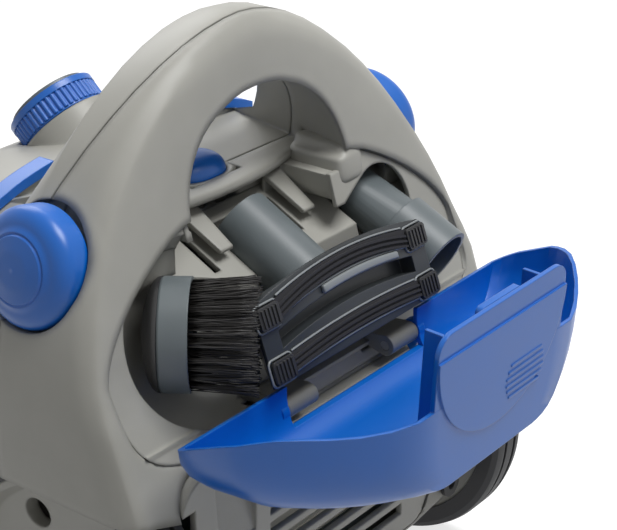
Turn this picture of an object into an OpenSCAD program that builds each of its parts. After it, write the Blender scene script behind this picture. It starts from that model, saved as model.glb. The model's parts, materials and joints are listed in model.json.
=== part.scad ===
// Cylinder vacuum cleaner: rolling body with an arched carry handle and a rear tool store.
// Frame: +Z up, +Y towards the hose inlet, floor at z = 0, middle plane at x = 0.

/* [Body] */
// Overall width of the body shell
body_w = 296; // [240:1:340]
// Height of the handle arch above the floor
arch_top = 340; // [300:1:380]
// Height of the front deck above the floor
deck_z = 260; // [238:1:272]
// Distance from the rear face to the nose
body_len = 300; // [250:1:350]
// Moulded wall thickness of the shells
wall = 3; // [2:0.1:3.6]
// Gap of the seam between the two shells
seam_gap = 0.8; // [0.4:0.1:1.4]

/* [Handle] */
// Half width of the hand hole at its floor
hole_hw = 72; // [56:1:82]
// Height of the top of the hand hole above the floor
hole_top = 304; // [288:1:312]
// Depth of the grip at the crown
grip_depth = 30; // [24:1:40]

/* [Lid] */
// Height of the lid hinge axis above the floor
hinge_z = 170; // [162:1:178]
// Distance from the hinge axis to a hinge lug, sideways
lug_x = 42; // [30:1:60]
// Diameter of the hinge pins
pin_d = 5; // [4:0.1:6]
// Angle that the lid stands open
lid_open = 93; // [80:1:100]
// Lid wall thickness
lid_t = 2.2; // [1.8:0.1:3]
// Half width of the lid's top panel
panel_hw = 54; // [44:1:55]
// How far the lid bulges behind the rear face
lid_bulge = 41; // [34:1:46]

/* [Wheels] */
// Rear wheel diameter
wheel_d = 160; // [140:1:164]
// Rear wheel width
wheel_w = 24; // [18:1:28]
// Rear axle diameter
axle_d = 10; // [8:0.5:12]
// Caster wheel diameter
caster_d = 34; // [28:1:38]

/* [Tools] */
// Outside diameter of the tool necks
neck_d = 35; // [30:1:38]
// Width of the upholstery nozzle
nozzle_w = 144; // [120:1:150]
// Diameter of the dusting brush
brush_d = 54; // [48:1:62]
// Length of the crevice tool
crevice_len = 85; // [76:1:87]

/* [Controls] */
// Diameter of the foot pedals
pedal_d = 57; // [50:1:62]
// Travel of a foot pedal
pedal_travel = 5; // [3:0.5:7]
// Travel of the cover release button
button_travel = 4; // [2:0.5:5]

/* [Hose inlet] */
// Bore of the hose inlet
inlet_d = 35; // [30:0.5:38]
// Outside diameter of the swivel collar
collar_d = 51; // [47:1:58]
// Number of grip ribs round the collar
collar_ribs = 48; // [24:4:60]
// Length of the inlet duct behind the collar
duct_len = 44; // [36:1:52]
// Wall of the inlet duct and collar
duct_wall = 3; // [2:0.1:4]

/* [Hidden] */
$fn = 48;
big = 400;
run = 0.05;          // radial running clearance
fit = 0.3;           // clearance between parts that only lie together

HOUSING = "#A9A9A3";
SHADE = "#8E8E88";
BLUE = "#1F5FBF";
SLATE = "#5C6468";
DARK = "#2E2A27";
TYRE = "#55555A";

// ---- places, from the driving sizes ----
hw = body_w / 2;
hinge_y = -120;
rear_y = hinge_y + 27;
front_y = rear_y + body_len;
base_z = 36;
skirt_z = 66;
ledge_z = deck_z - 9;
mid_z = 182;
seam_y = rear_y + 66;
seam_lean = 0.3;
round_r = 14;
arch_front = seam_y - 6;
deck_start = seam_y + 32;
crown_y = rear_y + 33;
pedal_y = seam_y - 11.5;
pedal_z = ledge_z - 6;

// ---- smooth helpers ----
function clamp01(t) = max(0, min(1, t));
function ease(t) = let (c = clamp01(t)) c * c * (3 - 2 * c);
function mix(a, b, t) = a + (b - a) * t;
function spow(v, n) = sign(v) * pow(abs(v), n);
// a closed curve with its own upper and lower bluntness
function oval(hx, up, down, nu, nd, zc, count) = [for (i = [0:count - 1])
    let (a = 360 * i / count, n = sin(a) >= 0 ? nu : nd, h = sin(a) >= 0 ? up : down)
    [hx * spow(cos(a), 2 / n), zc + h * spow(sin(a), 2 / n)]];

// closed solid through rings of equal count, each end closed round its own middle
module skin(rings) {
    n = len(rings[0]);
    m = len(rings);
    mid = function (r) [for (k = [0:2]) [for (p = r) p[k]] * [for (p = r) 1] / n];
    points = concat([for (r = rings) each r], [mid(rings[0]), mid(rings[m - 1])]);
    faces = concat(
        [for (i = [0:m - 2], j = [0:n - 1]) let (a = i * n + j, b = i * n + (j + 1) % n)
            each [[a, b, b + n], [a, b + n, a + n]]],
        [for (j = [0:n - 1]) [(j + 1) % n, j, m * n]],
        [for (j = [0:n - 1]) [(m - 1) * n + j, (m - 1) * n + (j + 1) % n, m * n + 1]]);
    polyhedron(points, faces);
}

// ---- body form: cross sections along Y ----
function past_arch(y) = ease((y - arch_front) / (deck_start - arch_front));
function nose(y) = clamp01((y - deck_start) / (front_y - deck_start));
function body_hw(y) = hw * (1 - 0.02 * past_arch(y) - 0.24 * pow(nose(y), 2.2));
function body_top(y) = mix(arch_top, deck_z, past_arch(y)) - 0.42 * deck_z * pow(nose(y), 2.3);
function blunt(y) = mix(1.72, 3, past_arch(y));
// the rear face stands back below the tool store and leans in above it
function lean(y, z) = (1 - ease((y - rear_y) / (seam_y - rear_y)))
    * (31 * sin(90 * clamp01((z - mid_z - 10) / (arch_top - mid_z - 10))) - 25 * ease((mid_z + 20 - z)
        / 58));
// inset g for walls, r for the rounding of the two ends
function section(y, g, r, count) = let (t = body_top(y) - g - r, b = base_z + g + r,
        zc = b + (t - b) * mix(0.475, 0.5, past_arch(y)))
    [for (p = oval(body_hw(y) - g - 0.6 * r, t - zc, zc - b, blunt(y), 4.5, zc, count)) [p[0], y + lean(y,
        p[1]), p[1]]];
module body_form(g = 0, count = 60, step = 18) {
    r = max(round_r - g, 2);
    nr = 30;
    ya = rear_y + g;
    yb = front_y - g;
    rear = [for (k = [0:3]) [ya + r * (1 - cos(k * 30)), r * (1 - sin(k * 30))]];
    steps = ceil((yb - nr - ya - r) / step);
    mids = [for (k = [1:steps]) [mix(ya + r, yb - nr, k / steps), 0]];
    tip = [for (k = [1:4]) [yb - nr + nr * sin(k * 22.5), nr * (1 - cos(k * 22.5))]];
    half = section(ya, g, r, count);
    inner = [for (f = [0.25, 0.5, 0.68, 0.85]) [for (p = half) let (z = mix(mid_z, p[2], f)) [p[0] * f,
        ya + lean(ya, z), z]]];
    skin(concat(inner, [for (s = concat(rear, mids, tip)) section(s[0], g, s[1], count)]));
}
function seam_at(z) = seam_y - seam_lean * max(0, z - ledge_z);
// everything in front of the seam, moved by d
module ahead_of_seam(d = 0) rotate([90, 0, 90]) linear_extrude(2 * big, center = true)
    polygon([[seam_y + d, -big], [big, -big], [big, big], [seam_at(big) + d, big], [seam_y + d, ledge_z]]);

// ---- hand hole and tool store, grown by g for their own walls ----
module slice(y, hx, z0, z1, r, t = 1) translate([0, y, 0]) rotate([90, 0, 0]) linear_extrude(t)
    intersection() {
        hull() for (s = [-1, 1]) {
            translate([s * (hx - r), z1 - r]) circle(r, $fn = 48);
            translate([s * (hx - 1), z0 + 1]) circle(1, $fn = 12);
        }
        translate([-big / 2, z0]) square([big, big]);
    }
module hand_hole(g = 0) {
    crown = hole_top + g;
    hull() {
        slice(rear_y - 40, hole_hw - 26 + g, ledge_z - g, crown - 8, hole_hw - 27);
        slice(rear_y + 20, hole_hw - 16 + g, ledge_z - g, crown, hole_hw - 17);
        slice(deck_start + 17 + g, hole_hw + 12 + g, ledge_z - g, crown + 6, hole_hw - 8);
    }
}
// opens the top in front of the grip, down to the deck
module grip_front() hull() {
    translate([0, crown_y + grip_depth + 9, arch_top]) rotate([0, 90, 0]) cylinder(h = 2 * hole_hw - 44,
        r = 9,
        center = true, $fn = 32);
    translate([0, crown_y + grip_depth + 46, ledge_z + 30]) rotate([0, 90, 0])
        cylinder(h = 2 * hole_hw + 20,
        r = 9, center = true, $fn = 32);
    translate([-hole_hw - 12, deck_start + 40, ledge_z + 20]) cube([2 * hole_hw + 24, 20, big / 4]);
    translate([-hole_hw + 22, crown_y + grip_depth + 20, arch_top]) cube([2 * hole_hw - 44, 60, big / 4]);
}
store_back = seam_y - 8;
store_top = ledge_z - 4;
side_back = seam_y - 39;
pocket_back = seam_y - 27;
room_hw = 64;
floor_z = hinge_z + 42;
floor_slope = 0.5;
function floor_at(y) = floor_z + floor_slope * (y - rear_y - 10);
neck_tilt = 27.4;
crevice_turn = 3;
crevice_low = [86, hinge_y + 4, hinge_z + 26];
module at_crevice() translate(crevice_low) rotate([neck_tilt - 90, 0, crevice_turn]) children();
// opening in the rear face: the lid's outline, without the ledge
module store_prism(g, y0, y1) translate([0, y1, 0]) rotate([90, 0, 0]) linear_extrude(y1 - y0) difference()
    {
    polygon(lid_outline(-g, 64));
    translate([-room_hw + g, store_top + g]) square([2 * (room_hw - g), big]);
}
module tool_store(g = 0) {
    store_prism(g, rear_y - 60, side_back + g);
    translate([-104 - g, rear_y - 10, hinge_z - 2 - g])
        cube([208 + 2 * g, pocket_back - rear_y + 10 + g, store_top - 18 - hinge_z + 2 + 2 * g]);
    translate([-room_hw - g, rear_y - 10, hinge_z + 18 - g])
        cube([2 * room_hw + 2 * g, store_back - rear_y + 10 + g, store_top - hinge_z - 18 + 2 * g]);
    intersection() {
        at_crevice() cylinder(h = 150, r = neck_d / 2 + 5.5 + g, $fn = 48);
        translate([0, rear_y - 10, 0]) cube([big, store_back - rear_y + 7 + g, big]);
    }
}
// the ledge's rear lip is an arc between the posts
lip_y = rear_y + 43;
lip_r = 190;
module lip_cut() difference() {
    translate([0, 0, store_top - ledge_z - 4]) hand_hole();
    translate([0, lip_y + lip_r, store_top - 10]) cylinder(h = 200, r = lip_r, $fn = 96);
}

// ---- lid outline, shared by the lid and its recess ----
lid_hw = hw - 14;
lid_up = 68;
lid_down = 44;
function face_y(z) = rear_y + lean(rear_y, z);
lid_mid = hinge_z + 33;
lid_low = hinge_z + 1;
rim_dip = 14;
lid_flat = deck_z - 5;
function lid_outline(g, count) = [for (p = oval(lid_hw - g, lid_up - g, lid_down - g, 1.55, 5, lid_mid,
    count))
    [p[0], min(p[1], lid_flat - g)]];
module lid_block(y0, depth, g = 0) skin([for (d = [y0, depth]) [for (p = lid_outline(g, 64)) [p[0],
    d == depth ? face_y(p[1]) + d : d, p[1]]]]);

// ---- wheels ----
wheel_y = rear_y + 34;
wheel_z = wheel_d / 2;
wheel_x = hw - 7 - wheel_w;
well_gap = 4;
well_open = wheel_z + 64;
module wheel_room(g = 0) for (s = [-1, 1]) translate([s * (wheel_x - well_gap - g), wheel_y, wheel_z])
    rotate([0, s * 90, 0]) cylinder(h = 80, d = wheel_d + 2 * well_gap + 2 * g, $fn = 72);
// below well_open the wells run out through the skin, above it they stay inside
module wheel_well(g = 0) intersection() {
    wheel_room(g);
    union() {
        body_form(g > 0 ? 0.2 : wall + 0.5, 40, 26);
        translate([-big / 2, -big / 2, 0]) cube([big, big, well_open + g]);
    }
}

// ---- exhaust opening, below the tool store ----
exh_top_hw = 103;
exh_low_hw = 64;
exh_z0 = base_z + 10;
exh_z1 = hinge_z - 12;
exh_r = 19;
module exhaust_outline(g = 0, y0 = -big / 2, y1 = 0) hull() for (s = [-1, 1]) {
    translate([s * exh_top_hw, y1, exh_z1 - exh_r]) rotate([90, 0, 0]) cylinder(h = y1 - y0, r = exh_r + g,
        $fn = 48);
    translate([s * exh_low_hw, y1, exh_z0 + 14]) rotate([90, 0, 0]) cylinder(h = y1 - y0, r = 14 + g,
        $fn = 32);
}
exh_y = rear_y + 4;
exh_face = rear_y - 22;
flap_z = exh_z0 + 4;   // height of the exhaust cover's hinge
flap_x = 72;
flap_gap = 0.85;        // running gap round the exhaust cover
module at_flap() translate([0, exh_face, flap_z]) rotate([0, 90, 0]) children();
outlet_x = 98;
outlet_z = 57;

// ---- bag chamber cover outline (front) ----
cover_y0 = seam_y + 58;

pedal_tilt = 12;
pedal_x = hw - 33;
module at_pedal(s) translate([s * pedal_x, pedal_y, pedal_z]) rotate([0, s * (90 - pedal_tilt), 0])
    children();
spring_room = 12;
module pedal_bore(r, g = 0) for (s = [-1, 1]) at_pedal(s) translate([0, 0, -spring_room - g])
    cylinder(h = 70 + spring_room, r = r, $fn = 56);
inlet_tilt = 48;
inlet_y = seam_y + 90;
inlet_z = ledge_z + 2;
module at_inlet() translate([0, inlet_y, inlet_z]) rotate([-inlet_tilt, 0, 0]) children();
button_y = seam_y + 4;
button_hx = 18;

module shell_body() {
    difference() {
        union() {
            difference() {
                body_form();
                body_form(wall, 40, 26);
            }
            intersection() {
                body_form(0.1, 40, 26);
                union() {
                    hand_hole(wall);
                    tool_store(wall);
                    wheel_well(wall);
                    exhaust_outline(wall, rear_y - 40, exh_y + wall);
                    pedal_bore(pedal_d / 2 + wall + 1, wall);
                    translate([-button_hx - 4, button_y - 18, ledge_z - 26]) cube([2 * button_hx + 8, 36,
                        24]);
                }
            }
        }
        hand_hole();
        grip_front();
        tool_store();
        lip_cut();
        wheel_well();
        exhaust_outline(0, rear_y - 60, exh_y);
        pedal_bore(pedal_d / 2 + 1);
        translate([-big / 2, -big / 2, -1]) cube([big, big, skirt_z + 1]);
        translate([-button_hx - 1, button_y - 15, ledge_z - 24]) cube([2 * button_hx + 2, 30, 42]);
        translate([0, wheel_y, wheel_z]) rotate([0, 90, 0]) cylinder(h = body_w, d = axle_d + 2 * fit,
            center = true);
    }
}

// ---- bag chamber cover: its outline in plan, and the deck surface under it ----
cover_hw = hw * 0.7;
cover_y1 = front_y - 44;
cover_front_hw = 70;
cover_ear_x = 30;
cover_pin_r = 1.5;
knuckle_r = 2.8;
cover_r = 30;
module cover_outline(g = 0) hull() for (s = [-1, 1]) {
    translate([s * (cover_hw - cover_r), cover_y0 + cover_r]) circle(cover_r + g, $fn = 48);
    translate([s * (cover_front_hw - 14), cover_y1 - 14]) circle(14 + g, $fn = 32);
}
// height of the deck at (x, y), off by d
function deck_at(x, y, d) = let (b = base_z, t = body_top(y), zc = b + (t - b) * mix(0.475, 0.5,
    past_arch(y)))
    zc + (t - zc) * pow(1 - pow(min(0.97, abs(x) / body_hw(y)), blunt(y)), 1 / blunt(y)) + d;
// ================= shells =================
module rear_housing() color(HOUSING) difference() {
    shell_body();
    ahead_of_seam(-seam_gap / 2);
    difference() {
        lid_block(rear_y - 60, 2.5, -1.2);
        translate([-panel_hw, rear_y + 1, hinge_z]) cube([2 * panel_hw, 20, big]);
    }
}
module front_housing() color(HOUSING) {
    difference() {
        intersection() {
            shell_body();
            ahead_of_seam(seam_gap / 2);
        }
        translate([0, 0, mid_z - 40]) linear_extrude(big) {
            cover_outline(0.7);
            translate([14 - cover_front_hw, cover_y1 - 10]) square([2 * cover_front_hw - 28, 12]);
        }
    }
    for (s = [-1, 1]) pin_lug(s);
}
caster_y = front_y - 52;
socket_r = 7;
boss_x = wheel_x - well_gap - 14;
module base_pan() color(SHADE) difference() {
    intersection() {
        body_form(0, 32, 40);
        union() {
            difference() {
                translate([-big / 2, -big / 2, base_z - 1]) cube([big, big,
                    skirt_z - seam_gap - base_z + 1]);
                body_form(wall, 32, 40);
            }
            for (s = [-1, 1]) hull() {
                translate([s * boss_x, wheel_y, wheel_z]) rotate([0, 90, 0]) cylinder(h = 12, r = 13,
                    center = true);
                translate([s * boss_x, wheel_y, base_z + 2]) cube([12, 44, 3], center = true);
            }
            intersection() {
                wheel_room(wall);
                translate([-big / 2, -big / 2, base_z - 1]) cube([big, big,
                    skirt_z - seam_gap - base_z + 1]);
            }
            translate([0, caster_y, base_z]) cylinder(h = 22, r = socket_r + 5);
            intersection() {
                exhaust_outline(wall, rear_y - 40, exh_y + wall);
                translate([-big / 2, -big / 2, base_z - 1]) cube([big, big,
                    skirt_z - seam_gap - base_z + 1]);
            }
            for (y = [12, 54]) translate([motor_x - 24, motor_y0 + y, base_z + 1]) cube([48, 6, 24]);
        }
    }
    wheel_room();
    exhaust_outline(0, rear_y - 60, exh_y);
    at_motor() cylinder(h = motor_len + 8, r = motor_r + fit);
    at_flap() cylinder(h = 2 * flap_x + 8, r = 2 + fit, center = true);
    translate([outlet_x, rear_y, outlet_z]) rotate([90, 0, 0]) cylinder(h = 60, r = 5 + fit);
    for (s = [-1, 1]) translate([s * boss_x, wheel_y, wheel_z]) rotate([0, 90, 0])
        cylinder(h = 40, r = axle_d / 2, center = true);
    translate([0, caster_y, base_z - 4]) cylinder(h = 22, r = socket_r);
    for (x = [-60:12:60]) translate([x - 3, seam_y + 30, base_z - 2]) cube([6, 60, wall + 4]);
}

// ================= tool store =================
neck_low = [0, rear_y - 4, floor_at(rear_y) + 1];
module at_neck() translate(neck_low) rotate([neck_tilt - 90, 0, 0]) children();
brush_mid = [-85, hinge_y + 34, hinge_z + 41.6];
brush_turn = -53.8;
module at_brush() translate(brush_mid) rotate([0, 90, brush_turn]) children();
head_mid = [0, hinge_y - 1, hinge_z + 37.5];
head_tilt = 20;
module at_head() translate(head_mid) rotate([-head_tilt, 0, 0]) children();
sheet = 2.5;
step_y = rear_y + 12;
plate_y = hinge_y + 15.3;
plate_set = 2.5;       // the tray's face lies this far inside the rear face
module along_x(w) rotate([90, 0, 90]) linear_extrude(w, center = true) children();
module floor_profile(d) polygon([[plate_y, hinge_z + 3 - d], [step_y + d, hinge_z + 3 - d],
    [step_y + 4 + d, floor_at(step_y + 4) - d], [store_back - fit, floor_at(store_back) - d],
    [store_back - fit, -big], [plate_y, -big]]);
// the step in which the lid lies, depth thick
module face_space(depth) along_x(2 * hw) polygon(concat(
    [for (k = [0:10]) let (z = hinge_z - 14 + 10 * k) [face_y(z) + plate_set, z]],
    [for (k = [10:-1:0]) let (z = hinge_z - 14 + 10 * k) [face_y(z) + plate_set + depth, z]]));
module face_plate() intersection() {
    store_prism(0, rear_y - 60, side_back);
    face_space(sheet);
}
// hollows that hold the tools, grown by g
module brush_bowl(g = 0) translate([-73, rear_y, hinge_z + 43]) scale([47 + g, 34 + g, 49 + g]) sphere(1,
    $fn = 60);
module tool_beds(g = 0) {
    at_neck() translate([0, 0, -16 - g]) cylinder(h = 74 + 2 * g, d = neck_d + 2 * fit + 2 * g, $fn = 48);
    at_crevice() translate([0, 0, -30]) cylinder(h = crevice_len + 32, d = neck_d + 3 + 2 * fit + 2 * g,
        $fn = 48);
    brush_bowl(g);
}
// underside of the right post, above the crevice tool's side
post_x = 46;
post_low = 60;
module post_lobe() intersection() {
    hull() {
        translate([post_x + 9, rear_y + 70, hinge_z + post_low + 8]) rotate([90, 0, 0]) cylinder(h = 90,
            r = 8, $fn = 24);
        translate([post_x, rear_y - 20, store_top - 4]) cube([room_hw - post_x - 2, 90, 3]);
    }
    face_space(60);
}
// the free room above the floor, seen from behind
module room() intersection() {
    union() {
        translate([-room_hw, rear_y - 60, hinge_z + 3]) cube([room_hw + post_x, 120,
            store_top - hinge_z + 1]);
        translate([0, rear_y - 60, hinge_z + 3]) cube([room_hw - 4, 120, post_low - 3]);
        hull() {
            translate([82, rear_y + 60, hinge_z + 48]) rotate([90, 0, 0]) cylinder(h = 120, r = 24);
            translate([86, rear_y + 60, hinge_z + 22]) rotate([90, 0, 0]) cylinder(h = 120, r = 19);
            translate([0, rear_y - 60, hinge_z + 3]) cube([50, 120, 30]);
        }
    }
    along_x(2 * hw) polygon([[-big, big], [store_back, big], [store_back, floor_at(store_back)],
        [step_y + 4, floor_at(step_y + 4)], [step_y, hinge_z + 3], [-big, hinge_z + 3]]);
}
clip_x = [-25.5, 40];
clip_w = 13;
module clip_tongue() {
    hull() {
        translate([-clip_w / 2, store_back - 6, floor_at(store_back - 6) + 8]) cube([clip_w, 2, 1.8]);
        translate([-clip_w / 2 + 2, store_back - 30, floor_at(store_back - 30) + 6]) cube([clip_w - 4, 2,
            1.8]);
    }
    translate([-clip_w / 2, store_back - 6, floor_at(store_back - 6) - 1]) cube([clip_w, 2, 10]);
}
module tool_tray() color(HOUSING) union() {
    difference() {
        intersection() {
            tool_store(-fit);
            union() {
                face_plate();
                post_lobe();
                difference() {
                    along_x(2 * hw) floor_profile(0);
                    along_x(2 * hw + 2) floor_profile(sheet);
                }
                intersection() {
                    tool_beds(sheet);
                    union() {
                        along_x(2 * hw) floor_profile(0);
                        intersection() {
                            face_space(60);
                            translate([-big / 2, -big / 2, 0]) cube([big / 2 - room_hw, big, big]);
                        }
                    }
                }
            }
        }
        tool_beds();
        room();
        for (s = [-1, 1]) translate([s * lug_x - 14.4, hinge_y - 5, hinge_z - 6]) cube([28.8, 26.6, 11.5]);
        translate([-lug_x - 16, hinge_y, hinge_z - 2.4]) cube([2 * lug_x + 32, 26, 2.9]);
        for (s = [-1, 1]) translate([s * lug_x - 20, hinge_y - 6, hinge_z + 0.4]) cube([40, 20, 2.9]);
        nozzle_root(fit);
        for (x = clip_x) translate([x - clip_w / 2 - 5, store_back - 32, hinge_z + 40]) cube([4.5, 24, 40]);
    }
    for (x = clip_x) translate([x, 0, 0]) clip_tongue();
}
module hinge_bracket() color(SHADE) difference() {
    union() {
        for (s = [-1, 1]) hull() {
            translate([s * lug_x, hinge_y, hinge_z]) rotate([0, 90, 0]) cylinder(h = 22, r = pin_d / 2 + 3,
                center = true);
            translate([s * lug_x, hinge_y + 13, hinge_z + 1.4]) cube([22, 8, 5], center = true);
        }
        translate([0, hinge_y + 17, hinge_z - 0.9]) cube([2 * lug_x + 22, 15, 2.2], center = true);
        for (s = [-1, 1]) translate([s * lug_x, hinge_y + 15, hinge_z]) cube([22, 12, 4], center = true);
    }
    translate([0, hinge_y, hinge_z]) rotate([0, 90, 0]) cylinder(h = 140, r = pin_d / 2 + run,
        center = true);
}

// ================= lid =================
ear_t = 5;
ear_x = lug_x + 11 + 0.5 + ear_t / 2;
module open_lid() translate([0, hinge_y, hinge_z]) rotate([lid_open, 0, 0]) translate([0, -hinge_y,
    -hinge_z])
    children();
module hinge_pins() color("#8C8F92") open_lid() for (s = [-1, 1]) translate([s * (ear_x - 11), hinge_y,
    hinge_z])
    rotate([0, 90, 0]) cylinder(h = 27, d = pin_d, center = true);
// rings from the rim back over the bulge; the flat top edge keeps its height
function rim_y(z) = face_y(z) - rim_dip * ease((z - lid_flat + 40) / 40);
function lid_shape(g, t, count) = let (c = pow(cos(t), 0.36), top = lid_flat - g)
    [for (q = lid_outline(g, count)) let (x = q[0], z = max(q[1], lid_low + g))
        [x * mix(1, c, 0.8), mix(rim_y(z), rear_y - lid_bulge + g, sin(t)), top - (top - z) * mix(1, c,
            0.45)]];
module lid_form(g, count, ahead = 0) skin(concat(
    [for (t = [84, 80, 74, 66, 56, 44, 30, 15, 0]) lid_shape(g, t, count)],
    ahead > 0 ? [[for (p = lid_shape(g, 0, count)) p + [0, ahead, 0]]] : []));
module lid_rib(x, y, w, h) hull() for (s = [-1, 1]) translate([x + s * w / 2, y, lid_flat - 0.6])
    cylinder(h = h, r = 0.8, $fn = 12);
module lid_shell() color(BLUE) open_lid() difference() {
    union() {
        difference() {
            lid_form(0, 52);
            lid_form(lid_t, 40, 20);
        }
        hull() {
            for (s = [-1, 1]) translate([s * (panel_hw - 10), lip_y - 12, lid_flat - lid_t - 0.3])
                cylinder(h = lid_t + 0.2, r = 10, $fn = 32);
            translate([-panel_hw, rear_y - 8, lid_flat - lid_t - 0.3]) cube([2 * panel_hw, 4, lid_t + 0.2]);
        }
        for (s = [-1, 1]) {
            translate([s * (panel_hw - 13) - 1, rear_y - 26, lid_flat - 16]) cube([2, 62, 15]);
            hull() {
                translate([s * ear_x, hinge_y, hinge_z]) rotate([0, 90, 0]) cylinder(h = ear_t, r = 6,
                    center = true);
                translate([s * ear_x, hinge_y - 4, hinge_z + 2]) cube([ear_t, 14, 3], center = true);
            }
        }
        translate([0, 0, lid_flat - lid_t - 0.2]) linear_extrude(lid_t + 1.1) intersection() {
            translate([0, lip_y - 14]) scale([panel_hw, 52]) circle(1, $fn = 72);
            translate([-panel_hw, lip_y - 114]) square([2 * panel_hw, 100]);
        }
        for (k = [0:5]) lid_rib(22, rear_y - 14 + 3.4 * k, 26 + 6 * sin(36 * k), 1.9);
    }
    translate([-ear_x + ear_t / 2, hinge_y - 6.2, hinge_z - 30]) cube([2 * ear_x - ear_t, 64, 44]);
    for (s = [-1, 1]) {
        translate([s * ear_x, hinge_y, hinge_z]) rotate([0, 90, 0])
            cylinder(h = ear_t + 2, d = pin_d + 0.1, center = true, $fn = 64);
    }
}
module lid_latch() color(BLUE) open_lid() difference() {
    hull() for (s = [-1, 1]) translate([s * 14, lip_y - 5, lid_flat - lid_t - 4]) cylinder(h = 3.5, r = 3,
        $fn = 24);
    translate([-9, lip_y - 9, lid_flat - lid_t - 5]) cube([18, 3, 3]);
}

// ================= exhaust =================
louvre_pitch = 11;
louvre_slot = 7;
finger_x = -98;
module louvre_rows() for (k = [0:7]) translate([0, 0, exh_z0 + 12 + louvre_pitch * k]) children();
module exhaust_cover() color(HOUSING) difference() {
    union() {
        exhaust_outline(-flap_gap, exh_face - 2, exh_face + 1.5);
        difference() {
            exhaust_outline(-flap_gap, exh_face - 1, exh_face + 5.5);
            exhaust_outline(-3, exh_face - 20, exh_face + 30);
        }
        at_flap() cylinder(h = 2 * flap_x + 7, r = 2, center = true);
        translate([finger_x - 2, exh_face, exh_z1 - 50]) cube([34, 6, 42]);
    }
    louvre_rows() translate([-58, exh_face - 10, 0]) cube([112, 30, louvre_slot]);
    hull() {
        translate([finger_x, exh_face - 10, exh_z1 - 16]) cube([30, 15, 5]);
        translate([finger_x + 3, exh_face - 10, exh_z1 - 47]) cube([26, 9, 5]);
    }
    wheel_room(1);
}
module exhaust_filter() color("#D8D6CC") along_x(2 * (exh_low_hw - 8)) polygon(concat(
    [for (k = [0:12]) [exh_y - (k % 2 == 0 ? 4 : 8), exh_z0 + 14 + k * 5]],
    [for (k = [12:-1:0]) [exh_y - (k % 2 == 0 ? 1.5 : 5.5) + (k % 2 == 0 ? 0 : 2.5),
        exh_z0 + 14 + k * 5]]));
module filter_frame() color(SLATE) difference() {
    exhaust_outline(-4.5, exh_y - 9, exh_y - fit);
    translate([-(exh_low_hw - 8) - fit, exh_y - 20, exh_z0 + 14 - fit]) cube([2 * (exh_low_hw - 8 + fit),
        40, 60 + 2 * fit]);
    wheel_room(1);
}

// ================= motor and reel =================
motor_r = 40;
motor_z = base_z + wall + motor_r + 14;
motor_x = -30;
motor_y0 = exh_y + wall + 4;
motor_len = 74;
module at_motor() translate([motor_x, motor_y0, motor_z]) rotate([-90, 0, 0]) children();
module motor_casing() color("#3C3F42") at_motor() difference() {
    rotate_extrude($fn = 72) polygon([[0, 0], [motor_r - 10, 0], [motor_r, 8], [motor_r, motor_len - 4],
        [motor_r + 5, motor_len - 4], [motor_r + 5, motor_len], [0, motor_len]]);
    translate([0, 0, 8]) cylinder(h = motor_len - 12, r = motor_r - 4);
    translate([0, 0, -1]) cylinder(h = motor_len + 2, r = 4 + run);
    for (a = [0:45:315]) rotate([0, 0, a]) translate([22, 0, -1]) cylinder(h = 12, r = 5);
    translate([0, 0, motor_len - 6]) difference() {
        cylinder(h = 8, r = 20);
        cylinder(h = 8, r = 12);
    }
}
module motor_shaft() color("#B8BABC") at_motor() union() {
    translate([0, 0, -2]) cylinder(h = motor_len + 20, r = 4);
    translate([0, 0, 16]) cylinder(h = 36, r = 20);
}
module fan_wheel() color("#8C8F92") at_motor() translate([0, 0, motor_len + 4]) difference() {
    union() {
        cylinder(h = 2, r = motor_r - 4);
        cylinder(h = 12, r = 9);
        for (a = [0:40:320]) rotate([0, 0, a]) translate([8, -0.8, 0]) cube([motor_r - 13, 1.6, 10]);
    }
    translate([0, 0, -1]) cylinder(h = 20, r = 4);
}
reel_r = 33;
reel_x = 44;
reel_y = wheel_y + 28;
reel_z = wheel_z + 32;
module at_reel() translate([reel_x, reel_y, reel_z]) rotate([0, 90, 0]) children();
module cord_reel() color("#3C3F42") at_reel() difference() {
    union() {
        for (z = [0, 34]) translate([0, 0, z]) cylinder(h = 2, r = reel_r);
        cylinder(h = 36, r = 14);
        translate([0, 0, 4]) cylinder(h = 28, r = reel_r - 5);
    }
    translate([0, 0, -1]) cylinder(h = 40, r = 5 + run);
}
module reel_spindle() color(SHADE) union() {
    at_reel() translate([0, 0, -6]) cylinder(h = 46, r = 5);
    at_reel() translate([0, 0, -10]) cylinder(h = 6, r = 12);
    translate([reel_x - 10, reel_y - 8, base_z + wall + 0.8]) cube([6, 16, reel_z - base_z - wall - 0.8]);
}
module cord_outlet() color(DARK) translate([outlet_x, face_y(outlet_z) + 6, outlet_z]) rotate([90, 0, 0])
    difference() {
    union() {
        cylinder(h = 8, r = 5);
        translate([0, 0, 6.3]) cylinder(h = 2.5, r = 7.4);
    }
    translate([0, 0, -1]) cylinder(h = 20, r = 3);
}

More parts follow.
